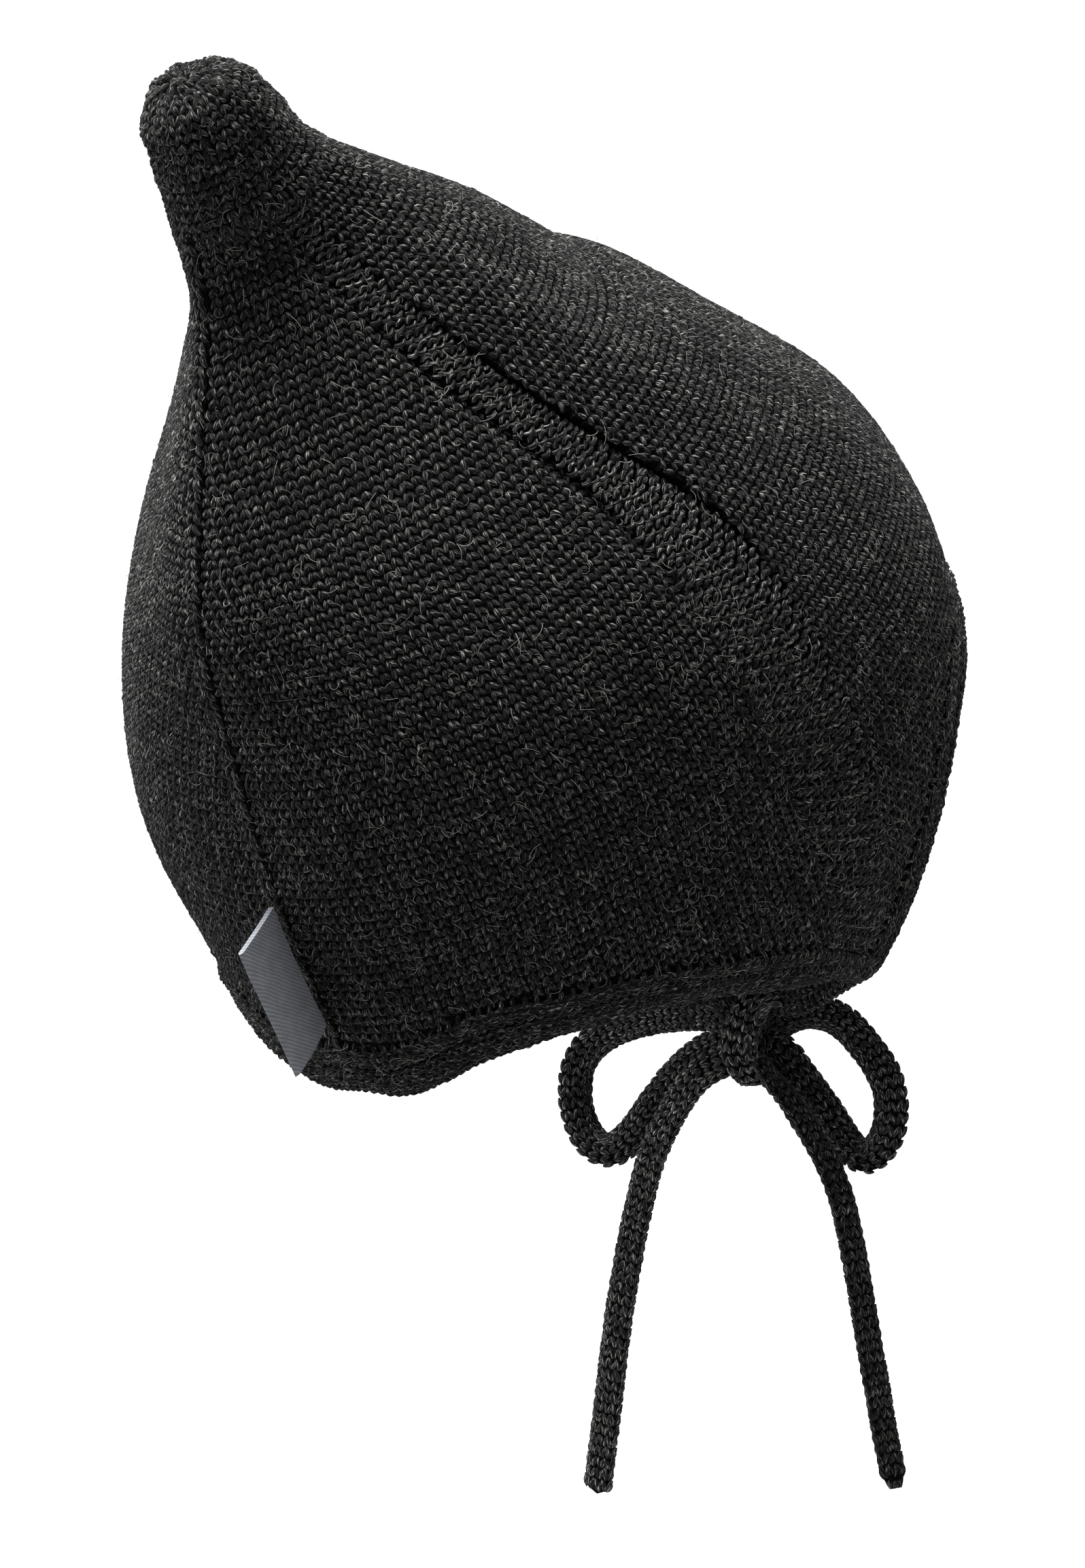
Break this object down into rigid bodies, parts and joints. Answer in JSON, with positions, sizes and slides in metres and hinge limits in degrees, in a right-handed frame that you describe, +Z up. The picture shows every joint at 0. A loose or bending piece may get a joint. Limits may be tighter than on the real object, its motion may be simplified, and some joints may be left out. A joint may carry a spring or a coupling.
{
  "type": "knitted bonnet",
  "caption": "Knitted child's bonnet with a pointed tip, shaped panels, garter borders round face and neck, a sewn tag at the nape and knitted ties tied in a bow.",
  "frame": {"origin": "where the crown of the wearer's head meets the inside of the bonnet, in the middle plane", "axes": "+Z up as worn, the face looks along -Y, the tip leans back towards +Y, and +X is the wearer's left"},
  "size_m": [0.1456, 0.1835, 0.2835],
  "materials": {
    "wool_knit": "matt charcoal wool, knitted",
    "tag_weave": "matt grey woven tape, bare"
  },
  "bodies": {
    "root": {"tip_cap": "wool_knit", "top_panel": "wool_knit", "side_band_right": "wool_knit", "side_band_left": "wool_knit", "side_panel_right": "wool_knit", "side_panel_left": "wool_knit", "back_seam": "wool_knit", "face_border": "wool_knit", "hem_border": "wool_knit", "seam_tag": "tag_weave", "tie_strap_right": "wool_knit", "tie_strap_left": "wool_knit", "bow_knot": "wool_knit", "bow_loop_right": "wool_knit", "bow_loop_left": "wool_knit", "tie_tail_right": "wool_knit", "tie_tail_left": "wool_knit"}
  },
  "joints": []
}
